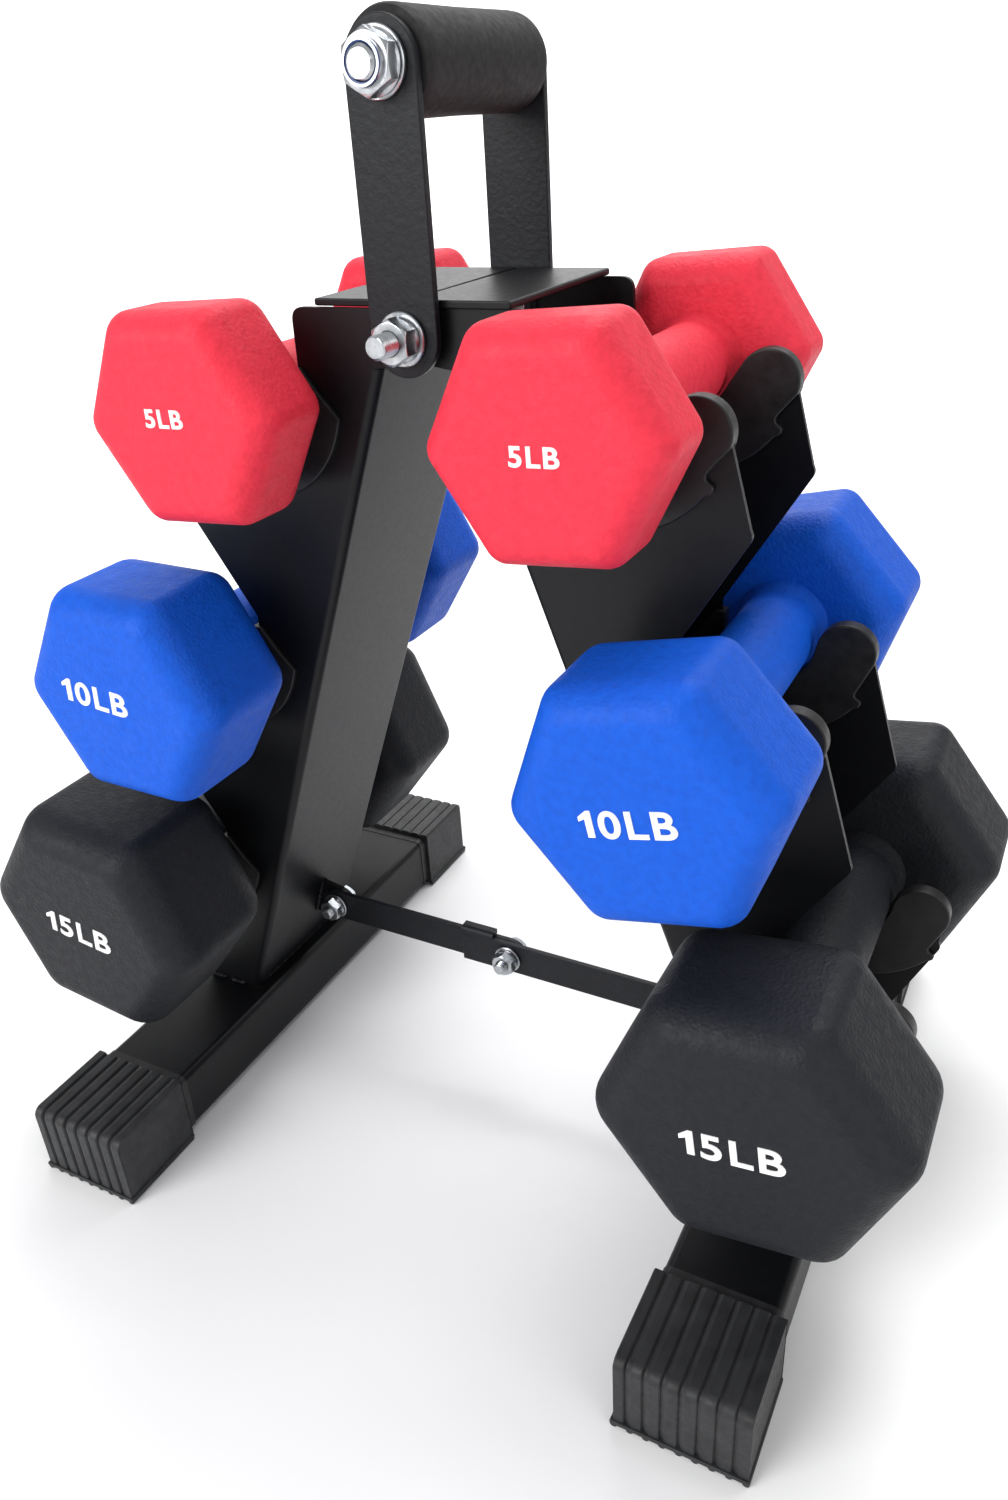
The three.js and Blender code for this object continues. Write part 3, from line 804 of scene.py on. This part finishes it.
def add_lock_nut(body, name, x, z, shank, flats):
    low, high = box(name)
    nut, ring = lock_nut(low.y, high.y, x, z, shank, flats)
    piece(nut, f"{name}_zinc", body, ZINC, [name])
    piece(ring, f"{name}_nylon", body, NYLON)


def add_hardware():
    for end, turn in (("front", 0.0), ("rear", math.pi)):
        fastener("left_leg", f"hinge_bolt_{end}", f"hinge_nut_{end}", [f"hinge_washer_{end}"], 0, PIVOT_Z, 4,
                 1.25, 13, turn)
        add_nut("left_leg", f"hinge_nut_{end}", 0, PIVOT_Z, 4, 13, turn)
    fastener("handle", "grip_bolt", "grip_nut", ["grip_washer", "grip_washer_rear"], 0, GRIP_Z, 5, 1.5, 16)
    add_lock_nut("handle", "grip_nut", 0, GRIP_Z, 5, 16)
    for side, x in (("left", -BRACE_X), ("right", BRACE_X)):
        washers = [f"brace_{side}_washer"]
        fastener(f"{side}_leg", f"brace_{side}_bolt", f"brace_{side}_nut", washers, x, BRACE_Z, 3, 1, 10)
        add_nut(f"{side}_leg", f"brace_{side}_nut", x, BRACE_Z, 3, 10)
    low, high = box("brace_middle_bolt")
    pin = turned([(2.9, low.y), (2.9, high.y - 3.9)], 0, BRACE_Z, 32)
    head = hexagonal(0, BRACE_Z, 10, high.y - 4, high.y, ("high",))
    piece(joined(pin, head), "brace_middle_bolt_zinc", "left_bar", ZINC, ["brace_middle_bolt"])
    low, high = box("brace_middle_stud")
    piece(threaded(0, BRACE_Z, 3, 1, low.y, high.y), "brace_middle_stud_zinc", "right_bar", ZINC,
          ["brace_middle_stud"])
    low, high = box("brace_middle_washer")
    washer = ring_washer(0, BRACE_Z, 3.3, (high.z - low.z) / 2, low.y, high.y)
    piece(washer, "brace_middle_washer_zinc", "right_bar", ZINC, ["brace_middle_washer"])
    add_nut("right_bar", "brace_middle_nut", 0, BRACE_Z, 3, 10)


# ---- Assembly ----
def add_leg(side, turn):
    body = f"{side}_leg"
    near, far = ("rear", "front") if turn else ("front", "rear")
    stands_for = [f"{side}_leg_channel"]
    piece(channel(), f"{side}_channel_sheet", body, SATIN, stands_for, turn, bevel=0.3)
    piece(leg_welds(), f"{side}_welds", body, SATIN, (), turn)
    piece(base_tube(), f"{side}_tube", body, SATIN, [f"{side}_base_tube"], turn)
    cap = end_cap()
    piece(cap.copy(), f"{side}_cap_{near}", body, CAP_RUBBER, [f"{side}_end_cap_{near}"], turn)
    cap.transform(Matrix.Translation((2 * TUBE_X, 0, 0)) @ Matrix.Rotation(math.pi, 4, "Z"))
    piece(cap, f"{side}_cap_{far}", body, CAP_RUBBER, [f"{side}_end_cap_{far}"], turn)
    low, high = box("right_top_plate")
    cover = plate([rounded_box(low.x, high.x, low.z, high.z, 0.9)], low.y, high.y, 0.5)
    piece(cover, f"{side}_top_cover", body, SATIN, [f"{side}_top_plate"], turn)
    flanges = ((near, -INNER_FLANGE, -INNER_FLANGE + SHEET), (far, OUTER_FLANGE - SHEET, OUTER_FLANGE))
    for tier in range(3):
        for end, y0, y1 in flanges:
            name = f"{side}_saddle_liner_{tier + 1}_{end}"
            piece(liner(tier, y0, y1), f"{name}_moulding", body, LINER_PLASTIC, [name], turn)
    add_dumbbells(side)


def strap(node_name):
    low, high = box(node_name)
    radius = (high.x - low.x) / 2
    outline = arc(0, PIVOT_Z, radius, math.pi, 2 * math.pi) + arc(0, GRIP_Z, radius, 0, math.pi)
    return plate([outline, circle(0, PIVOT_Z, 4.3), circle(0, GRIP_Z, 5.3)], low.y, high.y, 0.5)


def add_handle():
    for end in ("front", "rear"):
        name = f"handle_strap_{end}"
        piece(strap(name), f"{name}_bar", "handle", TEXTURED, [name])
    low, high = box("handle_foam_grip")
    radius, bore = (high.x - low.x) / 2, 8.0
    profile = [(bore, low.y), (radius - 2.4, low.y), (radius - 0.7, low.y + 0.5), (radius - 0.1, low.y + 2),
               (radius, low.y + 5), (radius - 0.25, 0), (radius, high.y - 5), (radius - 0.1, high.y - 2),
               (radius - 0.7, high.y - 0.5), (radius - 2.4, high.y), (bore, high.y)]
    grip = piece(turned(profile, 0, GRIP_Z, 72, closed=True), "foam_grip", "handle", FOAM,
                 ["handle_foam_grip"])
    low, high = box("handle_grip_tube")
    tube = ring_washer(0, GRIP_Z, 5.4, (high.z - low.z) / 2, low.y, high.y)
    piece(tube, "grip_tube", "handle", ZINC, ["handle_grip_tube"])


def add_brace():
    left_low, left_high = box("brace_bar_left")
    right_low, right_high = box("brace_bar_right")
    hole = 3.3
    x, z, half = BRACE_X, BRACE_Z, BRACE_HALF
    outline = arc(-x, z, half, math.pi / 2, 1.5 * math.pi) + arc(0, z, half, -math.pi / 2, math.pi / 2)
    bar = plate([outline, circle(-x, z, hole), circle(0, z, hole)], left_low.y, left_high.y, 0.4)
    piece(bar, "left_brace_bar", "left_bar", TEXTURED, ["brace_bar_left"])
    front = left_low.y - 0.4
    outline = [(right_low.x, z + half), (right_low.x, z - half)] + arc(x, z, half, -math.pi / 2, math.pi / 2)
    bar = plate([outline, circle(x, z, hole), circle(0, z, hole)], right_low.y, front, 0.4)
    lip_top = right_high.z
    thick = front - right_low.y
    section = [(right_low.y, z + half - 2), (right_low.y, lip_top - thick)]
    section += arc(right_low.y + thick, lip_top - thick, thick, math.pi, math.pi / 2, 8)
    section += [(left_high.y, lip_top), (left_high.y, z + half + 0.5)]
    section += [(front, z + half + 0.5), (front, z + half - 2)]
    lip = rings([[(px, y, pz) for y, pz in section] for px in (right_low.x, -8)])
    piece(joined(bar, lip), "right_brace_bar", "right_bar", TEXTURED, ["brace_bar_right"])
    for side, sign in (("left", -1), ("right", 1)):
        name = f"brace_lug_{side}"
        low, high = box(name)
        top, bottom = z + half + 2, z - half - 2
        outline = [(web_x(bottom), bottom), (web_x(top), top)] + arc(x, z, half, math.pi / 2, 1.5 * math.pi)
        lug = plate([outline, circle(x, z, hole)], low.y, high.y, 0.4)
        weld = bead((web_x(bottom) - 0.5, high.y, bottom), (web_x(top) - 0.5, high.y, top), 1.2, 7)
        other = bead((web_x(bottom) - 0.5, low.y, bottom), (web_x(top) - 0.5, low.y, top), 1.2, 8)
        mesh = joined(lug, weld, other)
        if sign < 0:
            mesh.transform(Matrix.Scale(-1, 4, (1, 0, 0)))
            mesh.flip_normals()
        piece(mesh, f"{side}_brace_lug", f"{side}_leg", SATIN, [name])


add_leg("right", 0.0)
add_leg("left", math.pi)
add_handle()
add_hardware()
add_brace()


# ---- Studio ----
def pale_floor():
    made = shader("studio floor", (0.86, 0.86, 0.865), 0.6)
    tint(made, noise(made, 3), (0.85, 0.85, 0.855), (0.875, 0.875, 0.88))
    profile = [(-3.0, 0.0), (2.2, 0.0)] + arc(2.2, 1.2, 1.2, -math.pi / 2, 0, 24)[1:] + [(3.4, 4.0)]
    back, across = Vector((-0.486, 0.874, 0)), Vector((0.874, 0.486, 0))
    points = [tuple(back * s + across * t + Vector((0, 0, z))) for s, z in profile for t in (-12.0, 12.0)]
    faces = [(2 * i, 2 * i + 1, 2 * i + 3, 2 * i + 2) for i in range(len(profile) - 1)]
    mesh = bpy.data.meshes.new("floor")
    mesh.from_pydata(points, [], faces)
    mesh.shade_smooth()
    mesh.materials.append(made)
    floor = bpy.data.objects.new("floor", mesh)
    bpy.context.scene.collection.objects.link(floor)


def soft_light(name, place, target, size, power):
    lamp = bpy.data.lights.new(name, "AREA")
    lamp.shape, lamp.size, lamp.energy = "DISK", size, power
    obj = bpy.data.objects.new(name, lamp)
    obj.location = place
    obj.rotation_euler = (Vector(target) - Vector(place)).to_track_quat("-Z", "Y").to_euler()
    bpy.context.scene.collection.objects.link(obj)


def studio_world():
    world = bpy.data.worlds.new("studio")
    world.use_nodes = True
    background = world.node_tree.nodes["Background"]
    background.inputs["Color"].default_value = (1, 1, 1, 1)
    background.inputs["Strength"].default_value = 0.55
    bpy.context.scene.world = world


def photo_camera():
    place = Vector((0.21215, -0.37597, 0.41122))
    forward = Vector((-0.42556, 0.76578, -0.48215))
    up = Vector((-0.17977, 0.45064, 0.87441))
    right = forward.cross(up).normalized()
    up = right.cross(forward).normalized()
    turn = Matrix((right, up, -forward.normalized())).transposed()
    camera = bpy.data.cameras.new("camera")
    camera.lens, camera.sensor_width, camera.sensor_fit = 27.92, 36, "AUTO"
    camera.clip_start = 0.01
    obj = bpy.data.objects.new("camera", camera)
    obj.matrix_world = Matrix.Translation(place) @ turn.to_4x4()
    bpy.context.scene.collection.objects.link(obj)
    bpy.context.scene.camera = obj


bpy.context.scene.view_settings.view_transform = "Standard"
pale_floor()
studio_world()
soft_light("key", (-0.7, -1.5, 1.0), (0, 0, 0.2), 1.2, 27)
soft_light("fill", (1.5, -0.8, 0.7), (0, 0, 0.2), 1.2, 6)
soft_light("top", (0.2, 0.8, 1.9), (0, 0.1, 0.1), 1.5, 23)
soft_light("wash", (-0.5, 1.3, 2.4), (-1.5, 3.4, 0.5), 1.5, 90)
photo_camera()
